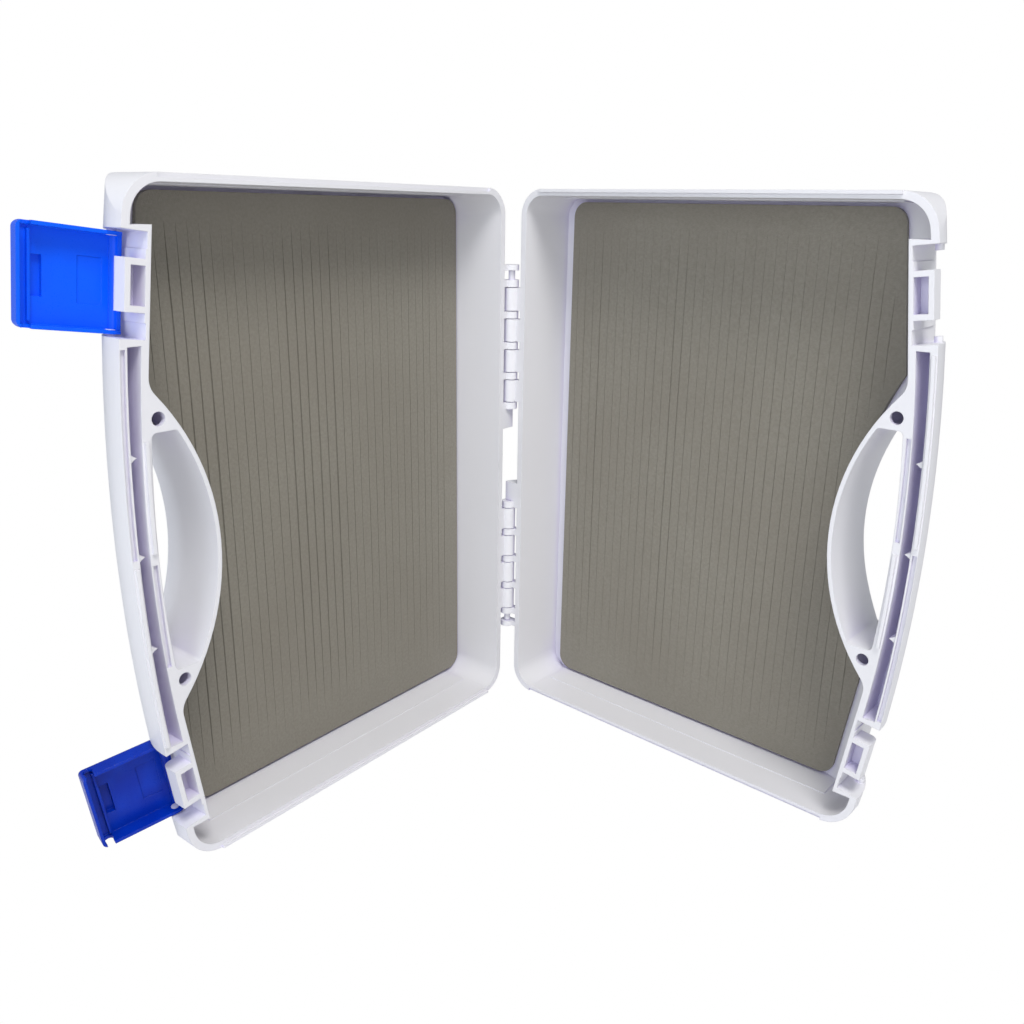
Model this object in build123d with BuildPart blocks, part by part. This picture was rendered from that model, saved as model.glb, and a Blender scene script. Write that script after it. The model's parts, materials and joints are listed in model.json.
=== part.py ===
"""Large boat-style fly box, opened like a book and standing on its short sides.

Both halves are the same moulding, one turned end for end. The moulding is drawn in its own
frame: X from the hinge axis towards the handle, Y along the hinge from the middle of the
case, Z out of the open tray, the rim at Z = 0.
"""

import os
from math import asin, cos, degrees, radians, sin, sqrt, tan

from build123d import *

os.makedirs("parts", exist_ok=True)

# ---------------------------------------------------------------- case, mm
case_height = 330.0  # along the hinge
case_width = 258.0  # hinge wall to the middle of the bowed handle side
half_depth = 42.0
bow_radius = 890.0  # plan radius of the handle side
hinge_corner_radius = 15.5
handle_corner_radius = 19.5
rim_width = 3.8
floor_thickness = 2.2
tray_draft = 1.0  # degrees
grip_rounding = 38.0  # back edge of the handle side
grip_draft = 0.5  # degrees
grip_sector = 40.0  # degrees about the middle of the bow, wide enough to hold the whole case
back_rounding = 9.0  # the other back edges
rest_opening = 86.4  # degrees between the two halves as photographed
cut_margin = 1.0  # how far cutting shapes stand out of what they cut

# hinge
hinge_gap = 7.1  # axis to hinge wall
parting_gap = 0.1  # left between the two rims when the box is shut
pin_radius = 2.0
pin_clearance = 0.05
knuckle_radius = 4.4
hinge_group_from_end = 93.5  # end of the case to the middle of a hinge group
knuckle_pitch = 19.1
narrow_knuckle = 4.3
knuckle_side_clearance = 0.45
narrow_count = 5
end_bar_width = 3.4
end_bar_offset = 47.7  # middle of the group to the middle of its end bar
ear_length = 12.7
ear_radius = 10.0
pin_end_clearance = 0.3

# wells for the latches, tray wall beside them, towers and studs
well_from_end = 44.8  # end of the case to the middle of a well
well_length = 44.4
well_wall = 1.7
well_end_web = 1.8
pivot_from_bow = 5.6  # latch axis to the outside of the case
pivot_depth = 16.5
pivot_to_wall = 6.5
stud_radius = 2.0
stud_length = 2.8
tower_recess = 2.3  # below the outside of the case
tower_length = 22.2
tower_depth = 11.0
tower_wall = 2.6
tower_end_wall = 2.8
tower_floor = 1.6
tower_rounding = 3.5
wall_pad_length = 30.6
wall_pad_thickness = 0.6
wall_pad_bottom = 14.0  # above the back of the case

# handle
bulge_radius = 116.6  # tray side of the wall round the finger opening
bulge_wall = 2.2
bulge_apex_from_bow = 45.3
bulge_blend = 10.0
opening_length = 114.2
opening_corner = 2.5
grip_width = 12.7  # finger opening to the outside, at the middle
grip_bow_rise = 2.8  # of the finger opening's straight side
grip_outer_wall = 3.5
grip_inner_wall = 4.1
channel_end_wall = 2.9  # channel to the well beside it
channel_depth = 18.0
channel_end_bow = 6.4
gusset_spacing = 45.2
gusset_shift = -2.4  # of the middle gusset from the middle of the case
gusset_radius = 1.7
gusset_reach = 3.2
gusset_drop = 0.8  # below the rim
gusset_inset = 1.1  # keeps them inside the outer wall
eye_radius = 3.25
eye_length = 3.0
eye_from_opening = 6.0
eye_from_bow = 19.4
eye_pocket_wall = 1.8
eye_pocket = (9.3, 12.6)

# tongues and grooves round the rim
tongue_height = 1.5
tongue_width = 1.8
groove_extra = 0.2
side_tongue_start = 14.5  # hinge wall to the tongue along the short sides
side_tongue_stop = 30.5  # its other end to the middle of the handle side
grip_tongue_inset = 0.6
grip_tongue_start = 2.0
grip_tongue_from_well = 4.0
inner_tongue_start = 3.0
inner_tongue_from_end = 3.1  # to the end of the finger opening

# ridge inside the short sides
ridge_depth = 19.0
ridge_step = 0.4
ridge_start = 17.5  # hinge wall to the ridge
ridge_stop = 36.5  # its other end to the middle of the handle side

# foam pads and their adhesive
pad_thickness = 4.5
adhesive_thickness = 0.2
base_pad_gap = 5.3  # hinge wall to the pad in the left half
lid_pad_gap = 12.9  # the same in the right half
pad_side_gap = 6.6
pad_corner_radius = 9.0
pad_corner_from_bow = 26.5
pad_shoulder_from_opening = 20.9
pad_shoulder_from_bow = 30.0
pad_apex_gap = 4.4  # wall round the finger opening to the pad
adhesive_inset = 3.0
adhesive_from_bow = 39.0  # keeps it on the flat of the floor
pad_clearance = 0.3  # to the rounded floor

# latches, drawn shut: reach towards the other half, rise inwards from the latch axis
latch_end_gap = 1.0
latch_plate = 2.0
latch_reach = 36.8
latch_end_wall = 1.5
latch_flange = 1.6
latch_flange_rise = 4.2
latch_heel_radius = 1.2
latch_hollow = 2.6
latch_hole_clearance = 0.08
latch_mouth = 3.6
snap_clearance = 0.2
latch_rest_angle = 103.0  # degrees from shut
latch_rib = (30.6, 31.8)
latch_rib_rise = 2.6
latch_slot = (25.9, 30.0, 16.8)
latch_slot_depth = 2.8
latch_grip_pad = (23.6, 31.2, 21.0)
latch_grip_rise = 1.8
latch_window = (2.8, 12.4, 19.6)
latch_window_depth = 0.4
latch_corner = 3.0

# ------------------------------------------------------- worked out from them
side_y = case_height / 2
outer_x = hinge_gap + case_width
bow_centre_x = outer_x - bow_radius
axis_z = parting_gap / 2
floor_depth = half_depth - floor_thickness
well_offset = side_y - well_from_end
hinge_group_offset = side_y - hinge_group_from_end
channel_length = 2 * (well_offset - well_length / 2 - channel_end_wall)
eye_offset = opening_length / 2 + eye_from_opening
latch_tilt = degrees(asin(well_offset / bow_radius))
stud_span = 2 * (pivot_depth + axis_z)
bulge_centre_x = outer_x - bulge_apex_from_bow + bulge_radius
web_y = well_offset + well_length / 2 + well_end_web
through = 2 * half_depth
ends = (1, -1)


def bow_x(y: float, inset: float = 0.0) -> float:
    """X of the bowed handle side, inset from the outside."""
    return bow_centre_x + sqrt((bow_radius - inset) ** 2 - y**2)


def drafted(depth: float) -> float:
    """How far the drafted tray wall has moved inwards at a depth below the rim."""
    return depth * tan(radians(tray_draft))


pivot_x = bow_x(well_offset) - pivot_from_bow / cos(radians(latch_tilt))


def wall_x(y: float) -> float:
    """X of the tray side of the straight wall behind the wells, at the rim."""
    face = (pivot_to_wall + well_wall) / cos(radians(latch_tilt))
    return pivot_x - face - tan(radians(latch_tilt)) * (abs(y) - well_offset)


def well_place(end: int) -> Location:
    """Frame of a well, end +1 or -1 along the hinge: X outwards, Y along the latch axis."""
    return Location((pivot_x, end * well_offset, 0), (0, 0, end * latch_tilt))


def band(outer: float, inner: float, start: float, end: float) -> Sketch:
    """Strip along the bowed side between two insets and two places along the hinge."""
    half = (start + end) / 2
    with BuildSketch() as strip:
        with BuildLine():
            ThreePointArc((bow_x(start, outer), start), (bow_x(half, outer), half), (bow_x(end, outer), end))
            Line((bow_x(end, outer), end), (bow_x(end, inner), end))
            ThreePointArc((bow_x(end, inner), end), (bow_x(half, inner), half), (bow_x(start, inner), start))
            Line((bow_x(start, inner), start), (bow_x(start, outer), start))
        make_face()
    return strip.sketch


def grip_section(inset: float) -> Sketch:
    """Section across the hinge with the rounded back edge of the handle side, inset from the outside."""
    lean = tan(radians(grip_draft))
    foot_x = outer_x - inset - (half_depth - inset) * lean
    head_x = outer_x - inset + cut_margin * lean
    with BuildSketch() as outline:
        with BuildLine():
            Polyline(
                (0, inset - half_depth),
                (foot_x, inset - half_depth),
                (head_x, cut_margin),
                (0, cut_margin),
                close=True,
            )
        make_face()
        foot = outline.vertices().sort_by(Axis.X)[-2:].sort_by(Axis.Y)[0]
        fillet(foot, grip_rounding - inset)
    return outline.sketch


def grip_solid(inset: float) -> Part:
    """Sector inside the rounded handle side, inset from the outside."""
    bow_axis = Axis((bow_centre_x, 0, 0), (0, 0, 1))
    sketch = (Plane.XZ * grip_section(inset)).rotate(bow_axis, -grip_sector / 2)
    return revolve(sketch, axis=bow_axis, revolution_arc=grip_sector, mode=Mode.PRIVATE)


def case_outline(inset: float) -> Sketch:
    """Plan outline of the case, inset from the outside."""
    corner_y = side_y - inset
    corner_x = bow_x(corner_y, inset)
    near_x = hinge_gap + inset
    with BuildSketch() as outline:
        with BuildLine():
            Polyline((corner_x, -corner_y), (near_x, -corner_y), (near_x, corner_y), (corner_x, corner_y))
            ThreePointArc((corner_x, corner_y), (bow_x(0, inset), 0), (corner_x, -corner_y))
        make_face()
        fillet(outline.vertices().group_by(Axis.X)[0], hinge_corner_radius - inset)
        fillet(outline.vertices().group_by(Axis.X)[-1], handle_corner_radius - inset)
    return outline.sketch


# ------------------------------------------------------------------ outer block
with BuildPart() as block:
    with BuildSketch():
        add(case_outline(0))
    extrude(amount=-half_depth)
    fillet(block.faces().sort_by(Axis.Z)[0].edges(), back_rounding)
    add(grip_solid(0), mode=Mode.INTERSECT)

# ------------------------------------------------------------------ tray cavity
with BuildPart() as cavity:
    with BuildSketch():
        add(case_outline(rim_width))
    extrude(amount=-floor_depth, taper=tray_draft)
    with BuildSketch() as handle_walls:
        with BuildLine():
            Polyline(
                (0, -case_height),
                (outer_x, -case_height),
                (outer_x, -web_y),
                (wall_x(web_y), -web_y),
                (wall_x(0), 0),
                (wall_x(web_y), web_y),
                (outer_x, web_y),
                (outer_x, case_height),
                (0, case_height),
                close=True,
            )
        make_face()
        with Locations((bulge_centre_x, 0)):
            Circle(bulge_radius, mode=Mode.SUBTRACT)
        half_channel = channel_length / 2
        shoulders = handle_walls.vertices().filter_by_position(Axis.Y, -half_channel, half_channel)
        fillet(shoulders, bulge_blend)
    extrude(amount=-half_depth, mode=Mode.INTERSECT)
    add(grip_solid(floor_thickness), mode=Mode.INTERSECT)

# ---------------------------------------------------- wells, towers and studs
tower_face = pivot_from_bow - tower_recess
wall_middle = -pivot_to_wall - well_wall / 2
with BuildPart() as well:
    with BuildSketch(Plane.XY.offset(cut_margin)):
        with Locations((-pivot_to_wall, 0)):
            Rectangle(
                pivot_to_wall + 2 * pivot_from_bow,
                well_length,
                align=(Align.MIN, Align.CENTER),
            )
    extrude(amount=-through)

with BuildPart() as tower:
    with BuildSketch(Plane.XZ):
        with Locations((wall_middle, 0)):
            Rectangle(tower_face - wall_middle, tower_depth, align=(Align.MIN, Align.MAX))
    extrude(amount=tower_length / 2, both=True)
    back_edge = tower.edges().filter_by(Axis.Y).group_by(Axis.X)[-1].sort_by(Axis.Z)[0]
    fillet(back_edge, tower_rounding)
    with BuildSketch():
        with Locations((-pivot_to_wall, 0)):
            Rectangle(
                tower_face + pivot_to_wall - tower_wall,
                tower_length - 2 * tower_end_wall,
                align=(Align.MIN, Align.CENTER),
            )
    extrude(amount=tower_floor - tower_depth, mode=Mode.SUBTRACT)
    with BuildSketch():
        with Locations((wall_middle, 0)):
            Rectangle(
                well_wall / 2 + wall_pad_thickness,
                wall_pad_length,
                align=(Align.MIN, Align.CENTER),
            )
    extrude(amount=wall_pad_bottom - half_depth)

with BuildPart() as studs:
    for end in ends:
        with BuildSketch(Plane.XZ.offset(-end * (well_length / 2 - stud_length))):
            with Locations((0, -pivot_depth)):
                Circle(stud_radius)
        extrude(amount=-end * (stud_length + well_end_web / 2))

# ---------------------------------------------------------------------- handle
opening_x = outer_x - grip_width
inner_face_x = opening_x + grip_inner_wall
with BuildPart() as opening:
    with BuildSketch(Plane.XY.offset(cut_margin)) as opening_outline:
        opening_y = opening_length / 2
        end_x = opening_x - grip_bow_rise
        with BuildLine():
            ThreePointArc((end_x, -opening_y), (opening_x, 0), (end_x, opening_y))
            Polyline((end_x, opening_y), (side_y, opening_y), (side_y, -opening_y), (end_x, -opening_y))
        make_face()
        with Locations((bulge_centre_x, 0)):
            Circle(bulge_radius - bulge_wall, mode=Mode.INTERSECT)
        fillet(opening_outline.vertices(), opening_corner)
    extrude(amount=-through)

with BuildPart() as channel:
    with BuildSketch():
        channel_y = channel_length / 2
        inner_x = inner_face_x - channel_end_bow
        channel_x = bow_x(channel_y, grip_outer_wall)
        with BuildLine():
            ThreePointArc((inner_x, -channel_y), (inner_face_x, 0), (inner_x, channel_y))
            Line((inner_x, channel_y), (channel_x, channel_y))
            ThreePointArc((channel_x, channel_y), (bow_x(0, grip_outer_wall), 0), (channel_x, -channel_y))
            Line((channel_x, -channel_y), (inner_x, -channel_y))
        make_face()
    extrude(amount=-channel_depth)
    add(grip_solid(floor_thickness), mode=Mode.INTERSECT)

with BuildPart() as gussets:
    with BuildSketch(Plane.XY.offset(-gusset_drop)):
        for step in (-1, 0, 1):
            gusset_y = gusset_shift + step * gusset_spacing
            foot_x = bow_x(gusset_y, grip_outer_wall)
            with Locations((foot_x, gusset_y)):
                Circle(gusset_radius)
            with BuildLine():
                Polyline(
                    (foot_x, gusset_y - gusset_radius),
                    (foot_x - gusset_reach, gusset_y),
                    (foot_x, gusset_y + gusset_radius),
                    close=True,
                )
            make_face()
    extrude(amount=gusset_drop - channel_depth)
    add(grip_solid(gusset_inset), mode=Mode.INTERSECT)

with BuildPart() as eyes:
    eye_x = outer_x - eye_from_bow
    with BuildSketch(Plane.XY.offset(cut_margin)):
        with Locations((eye_x, eye_offset), (eye_x, -eye_offset)):
            Circle(eye_radius)
    extrude(amount=-through)
    with BuildSketch(Plane.XY.offset(-eye_length)):
        pocket_y = opening_y + eye_pocket_wall + eye_pocket[1] / 2
        with Locations((eye_x, pocket_y), (eye_x, -pocket_y)):
            Rectangle(*eye_pocket)
        with Locations((bulge_centre_x, 0)):
            Circle(bulge_radius - bulge_wall, mode=Mode.INTERSECT)
    extrude(amount=-through)

# ---------------------------------------------------- tongues and their grooves
grip_end = well_offset - well_length / 2 - grip_tongue_from_well
inner_end = opening_y - inner_tongue_from_end
inner_inset = grip_width - grip_inner_wall / 2 - tongue_width / 2
side_x = hinge_gap + side_tongue_start
side_length = case_width - side_tongue_start - side_tongue_stop
with BuildPart() as tongues:
    with BuildSketch(Plane.XY.offset(-tongue_height)):
        add(band(grip_tongue_inset, grip_tongue_inset + tongue_width, grip_tongue_start, grip_end))
        with Locations((side_x, side_y)):
            Rectangle(side_length, tongue_width, align=(Align.MIN, Align.MAX))
        add(band(inner_inset, inner_inset + tongue_width, -inner_end, -inner_tongue_start))
    extrude(amount=2 * tongue_height)

wide = tongue_width + groove_extra
groove_depth = tongue_height + groove_extra
grip_far = -grip_end - groove_extra
grip_near = groove_extra - grip_tongue_start
inner_near = inner_tongue_start - groove_extra
with BuildPart() as grooves:
    with BuildSketch(Plane.XY.offset(-groove_depth)):
        add(band(grip_tongue_inset - groove_extra, grip_tongue_inset + wide, grip_far, grip_near))
        with Locations((side_x - groove_extra, -side_y - groove_extra)):
            Rectangle(side_length + 2 * groove_extra, wide + groove_extra, align=(Align.MIN, Align.MIN))
        add(band(inner_inset - groove_extra, inner_inset + wide, inner_near, inner_end + groove_extra))
    extrude(amount=groove_depth + cut_margin)

# ---------------------------------------------- ridges inside the short sides
with BuildPart() as ridges:
    for end in ends:
        with BuildSketch(Plane.YZ.offset(hinge_gap + ridge_start)):
            wall_y = side_y - rim_width
            with BuildLine():
                Polyline(
                    (end * (side_y - floor_thickness), -ridge_depth),
                    (end * (wall_y - drafted(ridge_depth) - ridge_step), -ridge_depth),
                    (end * (wall_y - drafted(floor_depth) - ridge_step), -floor_depth),
                    (end * (side_y - floor_thickness), -floor_depth),
                    close=True,
                )
            make_face()
        extrude(amount=case_width - ridge_start - ridge_stop)

# ------------------------------------------------------------- hinge knuckles
wide_knuckle = knuckle_pitch - narrow_knuckle - 2 * knuckle_side_clearance
narrow_places = [knuckle_pitch * (k - (narrow_count - 1) / 2) for k in range(narrow_count)]
wide_places = [place + knuckle_pitch / 2 for place in narrow_places[:-1]]
spans = [(-hinge_group_offset + place, narrow_knuckle) for place in narrow_places]
spans += [(hinge_group_offset + place, wide_knuckle) for place in wide_places]
bar_y = -hinge_group_offset - end_bar_offset
spans += [(bar_y, end_bar_width)]
ear_y = -hinge_group_offset + narrow_places[-1] + narrow_knuckle / 2 + ear_length / 2
bore_start = bar_y + end_bar_width / 2
bore_length = ear_y - ear_length / 2 - bore_start


def knuckle_sketch(y: float) -> Sketch:
    """Section of a knuckle with the arm that joins it to the hinge wall."""
    with BuildSketch(Plane.XZ.offset(-y)) as outline:
        with Locations((0, axis_z)):
            Circle(knuckle_radius)
        with Locations((0, 0)):
            Rectangle(hinge_gap + rim_width / 2, knuckle_radius - axis_z, align=(Align.MIN, Align.MAX))
    return outline.sketch


with BuildPart() as knuckles:
    for place, width in spans:
        add(extrude(knuckle_sketch(place), amount=width / 2, both=True, mode=Mode.PRIVATE))
    ear_box = 2 * ear_radius
    with BuildSketch(Plane.XZ.offset(-ear_y)):
        with Locations((hinge_gap, 0)):
            Circle(ear_radius)
            Rectangle(ear_box, ear_box, align=(Align.CENTER, Align.MIN), mode=Mode.SUBTRACT)
        with Locations((hinge_gap + rim_width / 2, 0)):
            Rectangle(ear_box, ear_box, align=(Align.MIN, Align.CENTER), mode=Mode.SUBTRACT)
    extrude(amount=ear_length / 2, both=True)

with BuildPart() as bores:
    with BuildSketch(Plane.XZ.offset(-bore_start)):
        with Locations((0, axis_z)):
            Circle(pin_radius + pin_clearance)
    extrude(amount=-bore_length)
    mirror(about=Plane.XZ)

# -------------------------------------------------------------- whole moulding
with BuildPart() as moulding:
    add(block.part)
    add(knuckles.part)
    add(cavity.part, mode=Mode.SUBTRACT)
    add(ridges.part)
    for end in ends:
        add(well_place(end) * well.part, mode=Mode.SUBTRACT)
    add(opening.part, mode=Mode.SUBTRACT)
    add(channel.part, mode=Mode.SUBTRACT)
    add(gussets.part)
    add(eyes.part, mode=Mode.SUBTRACT)
    for end in ends:
        add(well_place(end) * tower.part)
        add(well_place(end) * studs.part)
    add(tongues.part)
    add(grooves.part, mode=Mode.SUBTRACT)
    add(bores.part, mode=Mode.SUBTRACT)


# --------------------------------------------------------------- foam and glue
def pad_outline(near_gap: float, inset: float) -> Sketch:
    """Plan outline of a foam pad at a gap from the hinge wall, inset all round."""
    near_x = hinge_gap + near_gap
    corner_y = side_y - pad_side_gap
    corner_x = bow_x(corner_y) - pad_corner_from_bow
    shoulder_x = outer_x - pad_shoulder_from_bow
    shoulder_y = opening_y + pad_shoulder_from_opening
    apex_x = outer_x - bulge_apex_from_bow - pad_apex_gap
    with BuildSketch(mode=Mode.PRIVATE) as outline:
        with BuildLine():
            Line((shoulder_x, shoulder_y), (corner_x, corner_y))
            Polyline((corner_x, corner_y), (near_x, corner_y), (near_x, -corner_y), (corner_x, -corner_y))
            Line((corner_x, -corner_y), (shoulder_x, -shoulder_y))
            ThreePointArc((shoulder_x, -shoulder_y), (apex_x, 0), (shoulder_x, shoulder_y))
        make_face()
        fillet(outline.vertices().sort_by(Axis.X)[:2], pad_corner_radius)
        fillet(outline.vertices().group_by(Axis.Y)[0].sort_by(Axis.X)[-1], pad_corner_radius)
        fillet(outline.vertices().group_by(Axis.Y)[-1].sort_by(Axis.X)[-1], pad_corner_radius)
        if inset > 0:
            offset(amount=-inset, kind=Kind.INTERSECTION)
    return outline.sketch


pad_clear = Pos(-pad_clearance, 0, 0) * grip_solid(floor_thickness + adhesive_thickness)

with BuildPart() as base_pad:
    with BuildSketch(Plane.XY.offset(adhesive_thickness - floor_depth)):
        add(pad_outline(base_pad_gap, 0))
    extrude(amount=pad_thickness)
    add(pad_clear, mode=Mode.INTERSECT)

with BuildPart() as lid_pad:
    with BuildSketch(Plane.XY.offset(adhesive_thickness - floor_depth)):
        add(pad_outline(lid_pad_gap, 0))
    extrude(amount=pad_thickness)
    add(pad_clear, mode=Mode.INTERSECT)

with BuildPart() as base_adhesive:
    with BuildSketch(Plane.XY.offset(-floor_depth)):
        add(pad_outline(base_pad_gap, adhesive_inset))
        with Locations((bow_centre_x, 0)):
            Circle(bow_radius - adhesive_from_bow, mode=Mode.INTERSECT)
    extrude(amount=adhesive_thickness)

with BuildPart() as lid_adhesive:
    with BuildSketch(Plane.XY.offset(-floor_depth)):
        add(pad_outline(lid_pad_gap, adhesive_inset))
        with Locations((bow_centre_x, 0)):
            Circle(bow_radius - adhesive_from_bow, mode=Mode.INTERSECT)
    extrude(amount=adhesive_thickness)

# ------------------------------------------------------------------------ pins
with BuildPart() as pin:
    with BuildSketch(Plane.XZ.offset(-bore_start - pin_end_clearance)):
        with Locations((0, axis_z)):
            Circle(pin_radius)
    extrude(amount=2 * pin_end_clearance - bore_length)

# --------------------------------------------------------------------- latches
latch_half = well_length / 2 - latch_end_gap
latch_inner = pivot_from_bow - latch_plate
latch_inside = latch_half - latch_flange
with BuildPart() as latch:
    with BuildSketch(Plane.XZ) as latch_side:
        Circle(latch_flange_rise)
        with Locations((-latch_flange_rise, 0)):
            Rectangle(latch_flange_rise + pivot_from_bow, latch_reach, align=(Align.MIN, Align.MIN))
        heel = latch_side.vertices().group_by(Axis.X)[-1].sort_by(Axis.Z)[0]
        fillet(heel, latch_heel_radius)
    extrude(amount=latch_half, both=True)
    fillet(latch.edges().filter_by(Axis.X).group_by(Axis.Z)[-1], latch_corner)
    with BuildSketch(Plane.XZ):
        Circle(latch_hollow)
        with Locations((latch_inner, 0)):
            Rectangle(
                2 * latch_flange_rise + latch_inner,
                latch_reach - latch_end_wall,
                align=(Align.MAX, Align.MIN),
            )
        Rectangle(2 * latch_flange_rise, 2 * latch_flange_rise, align=(Align.MAX, Align.CENTER))
    extrude(amount=latch_inside, both=True, mode=Mode.SUBTRACT)
    for end in ends:
        with BuildSketch(Plane.XZ.offset(-end * latch_half)):
            Circle(stud_radius + latch_hole_clearance)
            with Locations((0, stud_span)):
                Circle(stud_radius + snap_clearance)
                Rectangle(2 * latch_flange_rise, latch_mouth, align=(Align.MAX, Align.CENTER))
        extrude(amount=end * (stud_length - latch_end_gap + snap_clearance), mode=Mode.SUBTRACT)
    rib_start, rib_end = latch_rib
    with BuildSketch(Plane.XZ):
        with Locations((latch_inner - latch_rib_rise, rib_start)):
            Rectangle(latch_rib_rise, rib_end - rib_start, align=(Align.MIN, Align.MIN))
    extrude(amount=latch_half - stud_length - snap_clearance, both=True)
    pad_start, pad_end, pad_width = latch_grip_pad
    with BuildSketch(Plane.XZ):
        with Locations((pivot_from_bow, pad_start)):
            Rectangle(latch_grip_rise, pad_end - pad_start, align=(Align.MIN, Align.MIN))
    extrude(amount=pad_width / 2, both=True)
    slot_start, slot_end, slot_width = latch_slot
    with BuildSketch(Plane.XZ):
        with Locations((latch_inner, slot_start)):
            Rectangle(latch_slot_depth, slot_end - slot_start, align=(Align.MIN, Align.MIN))
    extrude(amount=slot_width / 2, both=True, mode=Mode.SUBTRACT)
    window_start, window_end, window_width = latch_window
    with BuildSketch(Plane.XZ):
        with Locations((latch_inner, window_start)):
            Rectangle(latch_window_depth, window_end - window_start, align=(Align.MIN, Align.MIN))
    extrude(amount=window_width / 2, both=True, mode=Mode.SUBTRACT)

# ------------------------------------------------------------ placed and saved
lid_x = (-cos(radians(rest_opening)), -sin(radians(rest_opening)), 0)
lid_z = (-sin(radians(rest_opening)), cos(radians(rest_opening)), 0)
base_plane = Plane(origin=(0, 0, side_y), x_dir=(-1, 0, 0), z_dir=(0, -1, 0))
lid_plane = Plane(origin=(0, 0, side_y), x_dir=lid_x, z_dir=lid_z)
base_place = base_plane.location * Pos(0, 0, -axis_z)
lid_place = lid_plane.location * Pos(0, 0, -axis_z)
latch_turn = Location((0, 0, -pivot_depth), (0, latch_rest_angle, 0))
placed = {
    "base_shell": base_place * moulding.part,
    "lid_shell": lid_place * moulding.part,
    "base_foam": base_place * base_pad.part,
    "lid_foam": lid_place * lid_pad.part,
    "base_foam_adhesive": base_place * base_adhesive.part,
    "lid_foam_adhesive": lid_place * lid_adhesive.part,
    "upper_hinge_pin": base_place * pin.part,
    "lower_hinge_pin": lid_place * pin.part,
    "upper_latch": base_place * well_place(-1) * latch_turn * latch.part,
    "lower_latch": base_place * well_place(1) * latch_turn * latch.part,
}
whole = Compound(children=[Compound(shape.wrapped) for shape in placed.values()]).bounding_box()
shift = Pos(-whole.center().X, -whole.center().Y, -whole.min.Z)
for name, shape in placed.items():
    seated = shift * shape
    seated.label = name
    export_step(seated, f"parts/{name}.step")

# Places that the joints and mounts are read from
print("hinge axis", shift.position)
for name, end in (("upper_latch", -1), ("lower_latch", 1)):
    pivot = shift * base_place * well_place(end) * Pos(0, 0, -pivot_depth)
    print(name, pivot.position, Plane(pivot).y_dir)
for name, place in (("base", base_place), ("lid", lid_place)):
    for end in ends:
        hole = shift * place * Pos(eye_x, end * eye_offset, -eye_length / 2)
        print(name, "eye", end, hole.position, Plane(hole).z_dir)
    back = shift * place * Pos(hinge_gap + case_width / 2, 0, -half_depth)
    print(name, "back", back.position, Plane(back).z_dir)
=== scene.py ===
"""Look of the fly box: materials, foam pads, camera, lights and a plain floor.

The row frame is in metres, with +Z along the hinge and the floor at Z = 0. Both halves are drawn
with one local frame: X from the hinge axis to the handle, Y along the hinge from the middle of
the case, Z out of the open tray.
"""

import json
import logging
import math
import random
from dataclasses import dataclass, field
from enum import Enum

import bpy
from mathutils import Matrix, Vector

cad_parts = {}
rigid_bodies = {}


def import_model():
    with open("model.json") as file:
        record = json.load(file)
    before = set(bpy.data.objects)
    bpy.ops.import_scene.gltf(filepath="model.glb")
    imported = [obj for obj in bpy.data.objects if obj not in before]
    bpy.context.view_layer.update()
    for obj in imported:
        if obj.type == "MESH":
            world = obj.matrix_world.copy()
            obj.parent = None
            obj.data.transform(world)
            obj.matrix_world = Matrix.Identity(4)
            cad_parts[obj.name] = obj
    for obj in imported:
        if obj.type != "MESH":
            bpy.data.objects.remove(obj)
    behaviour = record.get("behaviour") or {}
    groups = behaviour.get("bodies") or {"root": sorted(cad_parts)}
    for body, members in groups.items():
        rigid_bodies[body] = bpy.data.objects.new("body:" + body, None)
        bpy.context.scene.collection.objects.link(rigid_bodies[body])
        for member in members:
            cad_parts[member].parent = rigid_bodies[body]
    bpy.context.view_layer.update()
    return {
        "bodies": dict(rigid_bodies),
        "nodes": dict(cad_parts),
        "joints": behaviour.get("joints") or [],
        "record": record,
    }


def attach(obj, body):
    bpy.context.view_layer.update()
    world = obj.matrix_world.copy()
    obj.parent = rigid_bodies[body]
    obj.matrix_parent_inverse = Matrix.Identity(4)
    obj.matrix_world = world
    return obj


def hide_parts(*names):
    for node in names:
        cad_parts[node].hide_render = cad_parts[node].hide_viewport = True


log = logging.getLogger("fly_box")

MM = 0.001
IMAGE_SIZE = 1024  # pixels on a side that the camera was solved for
SENSOR_WIDTH = 36.0  # mm
NOISE_RANGE = (0.3, 0.7)  # holds most values of a noise texture
EDGE_SOFTNESS = 0.0005  # radius in metres of the moulded edges' shading
GRAIN_DEPTH = 0.0001  # metres


class Half(Enum):
    """A half of the case."""

    BASE = "base"
    LID = "lid"


@dataclass(frozen=True)
class Layout:
    """Sizes in mm shared by the pieces.

    Attributes:
        hinge: Hinge axis in the row frame.
        opening: Angle between the halves in degrees.
        side: Half of the case's length along the hinge.
        axis_z: Height of the hinge axis over the rim.
        foam_top: Depth of the face of the foam under the rim.
    """

    hinge: tuple[float, float] = (124.635, 111.410)
    opening: float = 86.4
    side: float = 165.0
    axis_z: float = 0.05
    foam_top: float = 35.1

    def matrix(self, half: Half) -> Matrix:
        """Matrix from a half's local frame in mm to the row frame in metres.

        Args:
            half: Which half of the case.

        Returns:
            The 4 x 4 matrix, scaled to metres.
        """
        turn = math.radians(self.opening)
        if half is Half.BASE:
            x_axis, z_axis = Vector((-1, 0, 0)), Vector((0, -1, 0))
        else:
            x_axis = Vector((-math.cos(turn), -math.sin(turn), 0))
            z_axis = Vector((-math.sin(turn), math.cos(turn), 0))
        y_axis = z_axis.cross(x_axis)
        origin = Vector((*self.hinge, self.side)) - z_axis * self.axis_z
        columns = Matrix((x_axis, y_axis, z_axis)).transposed().to_4x4()
        return Matrix.Scale(MM, 4) @ Matrix.Translation(origin) @ columns


LAYOUT = Layout()


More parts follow.
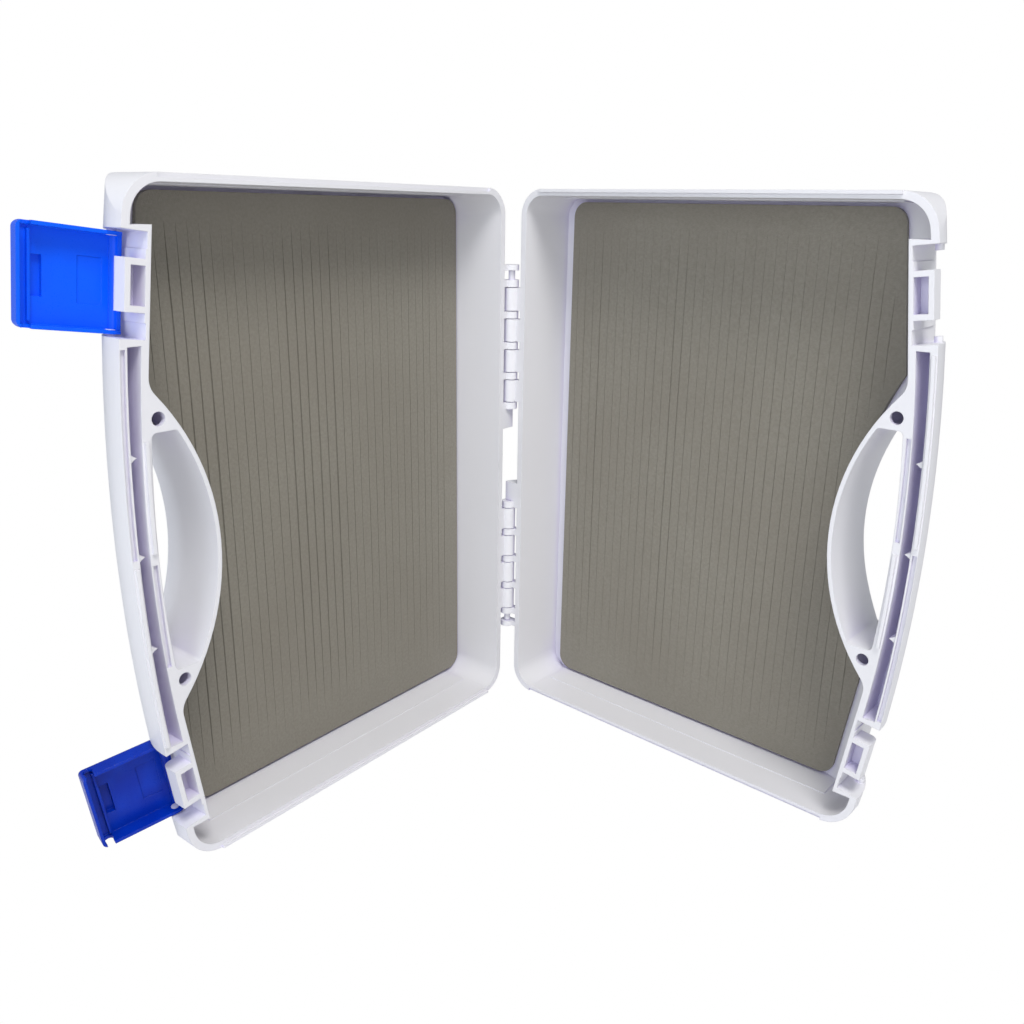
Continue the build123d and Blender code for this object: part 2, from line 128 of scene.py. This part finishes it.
class Nodes:
    """Small builder of a node tree for one material."""

    def __init__(self, name: str) -> None:
        self.material = bpy.data.materials.new(name)
        self.material.use_nodes = True
        self.tree = self.material.node_tree
        self.shader = self.tree.nodes["Principled BSDF"]

    def add(self, kind: str, inputs: dict | None = None, **settings: object) -> bpy.types.Node:
        """Adds a node.

        Args:
            kind: Blender's node type.
            inputs: Socket name or index to a value or to another node's output.
            settings: Attributes of the node.

        Returns:
            The node.
        """
        node = self.tree.nodes.new(kind)
        for key, value in settings.items():
            setattr(node, key, value)
        for key, value in (inputs or {}).items():
            self.put(node.inputs[key], value)
        return node

    def put(self, socket: bpy.types.NodeSocket, value: object) -> None:
        """Links an output to a socket, or sets the socket's value.

        Args:
            socket: Input socket.
            value: Output socket, number or tuple.
        """
        if isinstance(value, bpy.types.NodeSocket):
            self.tree.links.new(value, socket)
        else:
            socket.default_value = value

    def set(self, **values: object) -> None:
        """Sets or links inputs of the shader, with _ for the spaces in their names."""
        for name, value in values.items():
            self.put(self.shader.inputs[name.replace("_", " ")], value)

    def place(self) -> bpy.types.NodeSocket:
        """Returns the place on the piece in metres."""
        return self.add("ShaderNodeTexCoord").outputs["Object"]

    def noise(self, where: bpy.types.NodeSocket, scale: float, detail: float) -> bpy.types.NodeSocket:
        """Adds a noise texture and returns its output."""
        inputs = {"Vector": where, "Scale": scale, "Detail": detail}
        return self.add("ShaderNodeTexNoise", inputs).outputs["Fac"]

    def mapped(
        self, source: bpy.types.NodeSocket, span: tuple, low: float, high: float
    ) -> bpy.types.NodeSocket:
        """Maps a value to another range, clamped.

        Args:
            source: The value.
            span: Range that it comes from.
            low: Result at the start of the span.
            high: Result at its end.

        Returns:
            The output socket.
        """
        inputs = {"Value": source, "From Min": span[0], "From Max": span[1], "To Min": low, "To Max": high}
        return self.add("ShaderNodeMapRange", inputs).outputs["Result"]

    def mix(self, factor: object, first: object, second: object) -> bpy.types.NodeSocket:
        """Mixes two colours and returns the output."""
        node = self.add("ShaderNodeMix", data_type="RGBA", blend_type="MIX")
        self.put(node.inputs["Factor"], factor)
        self.put(node.inputs["A"], first)
        self.put(node.inputs["B"], second)
        return node.outputs["Result"]

    def mould(self, grain: bpy.types.NodeSocket, roughness: float, strength: float) -> None:
        """Gives moulded plastic its uneven gloss, softened edges and fine grain."""
        gloss = self.mapped(grain, NOISE_RANGE, roughness - 0.04, roughness + 0.06)
        soft = self.add("ShaderNodeBevel", {"Radius": EDGE_SOFTNESS}, samples=4).outputs["Normal"]
        inputs = {"Height": grain, "Strength": strength, "Distance": GRAIN_DEPTH, "Normal": soft}
        bump = self.add("ShaderNodeBump", inputs)
        self.set(Roughness=gloss, Normal=bump.outputs["Normal"])


def rgb(red: float, green: float, blue: float) -> tuple[float, float, float, float]:
    """Linear colour with full alpha."""
    return (red, green, blue, 1.0)


@dataclass(frozen=True)
class ShellFinish:
    """Off-white moulded plastic, with a painted lavender shade in its corners and narrow channels.

    Attributes:
        colour: Colour of the open faces.
        second: Colour that it drifts to where the plastic flowed unevenly.
        painted_shade_colour: Colour of the painted lavender shade in corners and narrow channels.
        painted_shade_span: Range of openness over which the painted shade fades out.
        painted_shade_reach: How near in metres other faces must be to bring in the painted shade.
        roughness: Middle roughness.
    """

    colour: tuple = rgb(0.74, 0.735, 0.765)
    second: tuple = rgb(0.70, 0.695, 0.72)
    painted_shade_colour: tuple = rgb(0.62, 0.57, 0.82)
    painted_shade_span: tuple = (0.05, 0.55)
    painted_shade_reach: float = 0.03
    roughness: float = 0.36

    def build(self) -> bpy.types.Material:
        """Builds the material."""
        n = Nodes("shell_plastic")
        where = n.place()
        flow = n.mapped(n.noise(where, 11.0, 2.0), NOISE_RANGE, 0.0, 0.5)
        # Painted shade: ambient occlusion turns corners and narrow channels lavender.
        openness = n.add("ShaderNodeAmbientOcclusion", {"Distance": self.painted_shade_reach}, samples=8)
        painted_shade = n.mapped(openness.outputs["AO"], self.painted_shade_span, 0.75, 0.0)
        base = n.mix(flow, self.colour, self.second)
        n.set(Base_Color=n.mix(painted_shade, base, self.painted_shade_colour), IOR=1.49)
        n.mould(n.noise(where, 1400.0, 4.0), self.roughness, 0.06)
        return n.material


@dataclass(frozen=True)
class LatchFinish:
    """Royal blue moulded plastic, with painted shade low down, painted light higher up and a painted glow
    where it is lit.

    Attributes:
        colour: Colour of the lower latch, in painted shade.
        painted_light_blue: Colour of the upper latch, in painted light.
        cloudy: Colour of the streaks in both.
        painted_light_heights: Heights in metres between which the painted shade turns into painted light.
        painted_glow: Strength of the painted glow by emission, which rises with the painted light.
        roughness: Middle roughness.
    """

    colour: tuple = rgb(0.0, 0.022, 0.34)
    painted_light_blue: tuple = rgb(0.0, 0.085, 0.74)
    cloudy: tuple = rgb(0.0, 0.06, 0.62)
    painted_light_heights: tuple = (0.06, 0.26)
    painted_glow: float = 0.16
    roughness: float = 0.3

    def build(self) -> bpy.types.Material:
        """Builds the material."""
        n = Nodes("latch_plastic")
        where = n.place()
        cloud = n.mapped(n.noise(where, 70.0, 2.0), (0.35, 0.65), 0.0, 0.3)
        height = n.add("ShaderNodeSeparateXYZ", {"Vector": where}).outputs["Z"]
        # Painted light: the blue turns from painted shade to painted light with height.
        shade = n.mix(n.mapped(height, self.painted_light_heights, 0.0, 1.0), self.colour, self.painted_light_blue)
        shade = n.mix(cloud, shade, self.cloudy)
        n.set(Base_Color=shade, Specular_IOR_Level=0.2)
        # Painted glow: emission that rises with height, as if light came through the plastic.
        n.set(Emission_Color=shade, Emission_Strength=n.mapped(height, self.painted_light_heights, 0.0, self.painted_glow))
        n.mould(n.noise(where, 1800.0, 3.0), self.roughness, 0.05)
        return n.material


@dataclass(frozen=True)
class FoamFinish:
    """Warm grey closed-cell foam.

    Attributes:
        colour: Main colour.
        light: Colour of the paler specks.
        dark: Colour of the darker clouds.
        cell_depth: Depth in metres of the cells in its face.
    """

    colour: tuple = rgb(0.205, 0.19, 0.155)
    light: tuple = rgb(0.265, 0.25, 0.215)
    dark: tuple = rgb(0.18, 0.16, 0.13)
    cell_depth: float = 0.00018

    def build(self) -> bpy.types.Material:
        """Builds the material."""
        n = Nodes("foam")
        where = n.place()
        cells = n.add("ShaderNodeTexVoronoi", {"Vector": where, "Scale": 1300.0}).outputs["Distance"]
        speck = n.noise(where, 600.0, 5.0)
        cloud = n.noise(where, 12.0, 3.0)
        shade = n.mix(n.mapped(speck, NOISE_RANGE, 0.0, 0.6), self.colour, self.light)
        shade = n.mix(n.mapped(cloud, NOISE_RANGE, 0.0, 0.4), shade, self.dark)
        height = n.add("ShaderNodeMath", {0: cells, 1: speck}, operation="ADD").outputs["Value"]
        bump = n.add("ShaderNodeBump", {"Height": height, "Strength": 0.6, "Distance": self.cell_depth})
        n.set(Base_Color=shade, Roughness=0.8, Normal=bump.outputs["Normal"])
        n.set(Specular_IOR_Level=0.35, Sheen_Weight=0.15)
        return n.material


@dataclass(frozen=True)
class FilmFinish:
    """Adhesive film with a fine grain."""

    colour: tuple = rgb(0.62, 0.62, 0.58)
    dark: tuple = rgb(0.5704, 0.5704, 0.5336)
    roughness: float = 0.5

    def build(self) -> bpy.types.Material:
        """Builds the material."""
        n = Nodes("adhesive_film")
        grain = n.noise(n.place(), 1500.0, 3.0)
        gloss = n.mapped(grain, NOISE_RANGE, self.roughness - 0.05, self.roughness + 0.05)
        n.set(Base_Color=n.mix(grain, self.colour, self.dark), Roughness=gloss)
        return n.material


@dataclass
class Case:
    """The pieces that are CAD shapes with a finish: halves, pins, adhesive and latches."""

    frame: dict
    shell: ShellFinish = field(default_factory=ShellFinish)
    latch: LatchFinish = field(default_factory=LatchFinish)
    film: FilmFinish = field(default_factory=FilmFinish)

    def build(self) -> None:
        """Gives each CAD piece its material, chosen by the end of its name."""
        shell = self.shell.build()
        finishes = {
            "shell": shell,
            "pin": shell,
            "adhesive": self.film.build(),
            "latch": self.latch.build(),
        }
        for name, node in self.frame["nodes"].items():
            kind = name.split("_")[-1]
            if kind in finishes:
                node.data.materials.clear()
                node.data.materials.append(finishes[kind])
                log.info("painted %s", name)


@dataclass(frozen=True)
class Slits:
    """Rows of razor cuts that hold the flies, in mm in a half's local frame.

    Attributes:
        first: Place of the first slit from the hinge axis.
        pitch: Distance between slits.
        count: How many there are.
        reach: Half of a slit's length.
        gaping: Ranges where the slits stand open.
        splits: Slit number, half of the part left out in its middle, and its reach.
        squeeze: Half of a slit's width over its depth.
        steps: Stretches that a slit is drawn with.
        gaping_depth: Least and greatest depth of a gaping slit.
        closed_depth: The same of the others.
        end_depth: Depth at the ends.
        lean: Most that a slit's ends are out of line with each other, halved.
        bow: Most that its middle is out of line with its ends.
        waver: Most that a point is out of line with its neighbours.
        ragged: Most that an end is off its place.
    """

    first: float = 25.0
    pitch: float = 6.05
    count: int = 34
    reach: float = 144.5
    gaping: tuple = ()
    splits: tuple = ((31, 32.0, 144.5), (32, 54.0, 138.0), (33, 70.0, 118.0))
    squeeze: float = 0.22
    steps: int = 14
    gaping_depth: tuple = (1.7, 2.5)
    closed_depth: tuple = (0.8, 1.3)
    end_depth: float = 0.25
    lean: float = 0.35
    bow: float = 0.25
    waver: float = 0.06
    ragged: float = 1.0

    def spans(self, number: int) -> list[tuple[float, float]]:
        """Parts of a slit along the hinge, as (start, end)."""
        for split, gap, reach in self.splits:
            if split == number:
                return [(-reach, -gap), (gap, reach)]
        return [(-self.reach, self.reach)]

    def depth(self, place: float, chance: random.Random) -> float:
        """Depth of a slit at a place across the pad."""
        if any(low < place < high for low, high in self.gaping):
            return chance.uniform(*self.gaping_depth)
        return chance.uniform(*self.closed_depth)

    def draw(self, curve: bpy.types.Curve, place: float, ends: tuple, chance: random.Random) -> None:
        """Adds one slit's spline, deepest in the middle and fine at its ends.

        Args:
            curve: Curve that takes the spline.
            place: Place across the pad.
            ends: Where the slit starts and ends along the hinge.
            chance: Source of its unevenness.
        """
        start, end = ends
        deepest = self.depth(place, chance)
        lean = chance.uniform(-self.lean, self.lean)
        bow = chance.uniform(-self.bow, self.bow)
        spline = curve.splines.new("POLY")
        spline.points.add(self.steps)
        for step, point in enumerate(spline.points):
            along = step / self.steps
            side = place + lean * (along - 0.5) + bow * math.sin(math.pi * along)
            side += chance.uniform(-self.waver, self.waver)
            point.co = (side / self.squeeze, start + (end - start) * along, -LAYOUT.foam_top, 1)
            point.radius = max(self.end_depth, deepest * math.sqrt(math.sin(math.pi * along)))


@dataclass
class FoamPad:
    """A slit foam pad in one half.

    Attributes:
        half: Half of the case that it lies in.
        material: Its foam.
        slits: Its rows of slits.
        seed: Seed of the slits' unevenness.
        edge: Rounding of its edges in mm.
    """

    half: Half
    material: bpy.types.Material
    slits: Slits
    seed: int
    edge: float = 0.9

    def build(self) -> bpy.types.Object:
        """Builds the pad in place of its CAD stand-in.

        Returns:
            The pad.
        """
        node = f"{self.half.value}_foam"
        pad = self._copy(node)
        pad.name = f"{self.half.value}_slit_foam"
        rounded = {"width": self.edge * MM, "segments": 3}
        corners = {"limit_method": "ANGLE", "angle_limit": math.radians(50)}
        self._modify(pad, "BEVEL", **rounded, **corners)
        cutter = self._cutter()
        self._modify(pad, "BOOLEAN", operation="DIFFERENCE", solver="EXACT", object=cutter)
        bpy.data.objects.remove(cutter)
        pad.data.materials.clear()
        pad.data.materials.append(self.material)
        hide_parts(node)
        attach(pad, self.half.value)
        log.info("%s has %d faces", pad.name, len(pad.data.polygons))
        return pad

    @staticmethod
    def _copy(node: str) -> bpy.types.Object:
        """Copies the CAD node's mesh into a merged closed mesh."""
        source = bpy.data.objects[node]
        pad = bpy.data.objects.new("pad", source.data.copy())
        bpy.context.scene.collection.objects.link(pad)
        select(pad)
        bpy.ops.object.mode_set(mode="EDIT")
        bpy.ops.mesh.select_all(action="SELECT")
        bpy.ops.mesh.remove_doubles(threshold=0.01 * MM)
        bpy.ops.mesh.tris_convert_to_quads()
        bpy.ops.mesh.dissolve_limited(angle_limit=math.radians(1))
        bpy.ops.object.mode_set(mode="OBJECT")
        return pad

    @staticmethod
    def _modify(piece: bpy.types.Object, kind: str, **settings: object) -> None:
        """Adds a modifier with its settings and applies it."""
        select(piece)
        modifier = piece.modifiers.new(kind.title(), kind)
        for key, value in settings.items():
            setattr(modifier, key, value)
        bpy.ops.object.modifier_apply(modifier=modifier.name)

    def _cutter(self) -> bpy.types.Object:
        """Makes one mesh of thin wedges, one for each slit."""
        slits = self.slits
        chance = random.Random(self.seed)
        curve = bpy.data.curves.new("slits", "CURVE")
        curve.dimensions = "3D"
        curve.bevel_depth = 1.0
        curve.bevel_resolution = 0
        curve.use_fill_caps = True
        for number in range(slits.count):
            place = slits.first + slits.pitch * number
            for span in slits.spans(number):
                ends = tuple(end + chance.uniform(-slits.ragged, slits.ragged) for end in span)
                slits.draw(curve, place, ends, chance)
        cutter = bpy.data.objects.new("slits", curve)
        bpy.context.scene.collection.objects.link(cutter)
        cutter.matrix_world = LAYOUT.matrix(self.half) @ Matrix.Diagonal((slits.squeeze, 1, 1, 1))
        select(cutter)
        bpy.ops.object.convert(target="MESH")
        bpy.ops.object.transform_apply(location=True, rotation=True, scale=True)
        bpy.ops.object.mode_set(mode="EDIT")
        bpy.ops.mesh.select_all(action="SELECT")
        bpy.ops.mesh.remove_doubles(threshold=0.001 * MM)
        bpy.ops.mesh.normals_make_consistent(inside=False)
        bpy.ops.object.mode_set(mode="OBJECT")
        return cutter


def select(piece: bpy.types.Object) -> None:
    """Makes a piece the only selected and the active object."""
    bpy.ops.object.select_all(action="DESELECT")
    piece.select_set(True)
    bpy.context.view_layer.objects.active = piece


@dataclass(frozen=True)
class Lamp:
    """A square area light: its place and size in metres, its power in watts."""

    name: str
    place: tuple
    size: float
    power: float
    colour: tuple

    def build(self, target: tuple) -> None:
        """Adds the light, turned to a target."""
        bpy.ops.object.light_add(type="AREA", location=self.place)
        lamp = bpy.context.active_object
        lamp.name = self.name
        lamp.data.size = self.size
        lamp.data.energy = self.power
        lamp.data.color = self.colour
        aim = Vector(target) - Vector(self.place)
        lamp.rotation_euler = aim.to_track_quat("-Z", "Y").to_euler()


@dataclass(frozen=True)
class Studio:
    """Camera, floor, backdrop and lights.

    Attributes:
        from_hinge: Camera from the hinge axis at the floor, in metres.
        yaw: Its heading in degrees, from +Y towards +X.
        pitch: Its tilt in degrees, negative downwards.
        roll: Its turn about its own axis in degrees.
        focal: Focal length in pixels.
        centre: Optical centre in pixels.
        aim: Where the lights point.
        lamps: The lights.
        sky: Colour of the light all round.
        sky_strength: Its strength.
        white: Colour that the camera sees behind the case.
        paper: Colour of the floor.
        floor_size: Side of the floor in metres.
    """

    from_hinge: tuple = (-0.465154, -0.36968, 0.3181)
    yaw: float = 52.905
    pitch: float = -17.764
    roll: float = 1.236
    focal: float = 933.683
    centre: tuple = (530.033, 509.191)
    aim: tuple = (0.0, 0.0, 0.16)
    lamps: tuple = (
        Lamp("key", (-0.40, -0.62, 1.45), 0.55, 17.0, (1.0, 0.99, 0.97)),
        Lamp("fill", (-0.9, -1.2, 0.35), 1.6, 5.0, (1.0, 0.98, 0.95)),
        Lamp("side", (-1.4, -0.1, 0.5), 1.0, 8.0, (0.86, 0.92, 1.0)),
    )
    sky: tuple = rgb(0.90, 0.94, 1.0)
    sky_strength: float = 0.36
    white: tuple = rgb(1, 1, 1)
    paper: tuple = rgb(0.86, 0.86, 0.87)
    floor_size: float = 8.0

    def build(self) -> None:
        """Builds the studio."""
        self._camera()
        self._floor()
        for lamp in self.lamps:
            lamp.build(self.aim)
        self._world()

    def _camera(self) -> None:
        """Adds the camera, with its optical centre off the middle of the picture."""
        yaw, pitch, roll = (math.radians(a) for a in (self.yaw, self.pitch, self.roll))
        level = Vector((math.cos(yaw), -math.sin(yaw), 0))
        ahead = Vector((math.sin(yaw) * math.cos(pitch), math.cos(yaw) * math.cos(pitch), math.sin(pitch)))
        up = level.cross(ahead)
        right = level * math.cos(roll) + up * math.sin(roll)
        top = up * math.cos(roll) - level * math.sin(roll)
        turn = Matrix((right, top, -ahead)).transposed().to_4x4()
        bpy.ops.object.camera_add()
        camera = bpy.context.active_object
        place = Vector((*LAYOUT.hinge, 0)) * MM + Vector(self.from_hinge)
        camera.matrix_world = Matrix.Translation(place) @ turn
        camera.data.sensor_width = SENSOR_WIDTH
        camera.data.lens = self.focal / IMAGE_SIZE * SENSOR_WIDTH
        camera.data.shift_x = -(self.centre[0] - IMAGE_SIZE / 2) / IMAGE_SIZE
        camera.data.shift_y = (self.centre[1] - IMAGE_SIZE / 2) / IMAGE_SIZE
        bpy.context.scene.camera = camera

    def _floor(self) -> None:
        """Adds pale paper that the camera sees as plain white."""
        bpy.ops.mesh.primitive_plane_add(size=self.floor_size, location=(0, 0, 0))
        floor = bpy.context.active_object
        floor.name = "floor"
        n = Nodes("floor_paper")
        n.set(Base_Color=self.paper, Roughness=0.9)
        seen = n.add("ShaderNodeLightPath").outputs["Is Camera Ray"]
        white = n.add("ShaderNodeEmission", {"Color": self.white, "Strength": 1.0}).outputs["Emission"]
        mixer = n.add("ShaderNodeMixShader", {0: seen, 1: n.shader.outputs["BSDF"], 2: white})
        n.put(n.tree.nodes["Material Output"].inputs["Surface"], mixer.outputs["Shader"])
        floor.data.materials.append(n.material)

    def _world(self) -> None:
        """Lights the scene from all round, with a white backdrop for the camera."""
        world = bpy.data.worlds.new("studio")
        bpy.context.scene.world = world
        world.use_nodes = True
        tree = world.node_tree
        back = tree.nodes["Background"]
        seen = tree.nodes.new("ShaderNodeLightPath")
        white = tree.nodes.new("ShaderNodeBackground")
        mixer = tree.nodes.new("ShaderNodeMixShader")
        back.inputs["Color"].default_value = self.sky
        back.inputs["Strength"].default_value = self.sky_strength
        white.inputs["Color"].default_value = self.white
        white.inputs["Strength"].default_value = 1.0
        tree.links.new(seen.outputs["Is Camera Ray"], mixer.inputs[0])
        tree.links.new(back.outputs[0], mixer.inputs[1])
        tree.links.new(white.outputs[0], mixer.inputs[2])
        tree.links.new(mixer.outputs[0], tree.nodes["World Output"].inputs["Surface"])


def main() -> None:
    """Builds the scene."""
    logging.basicConfig(level=logging.INFO)
    bpy.context.scene.view_settings.view_transform = "Standard"
    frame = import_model()
    Case(frame).build()
    foam = FoamFinish().build()
    FoamPad(Half.BASE, foam, Slits(gaping=((112, 150), (192, 216))), 11).build()
    FoamPad(Half.LID, foam, Slits(gaping=((38, 46), (92, 104))), 12).build()
    Studio().build()


if __name__ == "__main__":
    main()
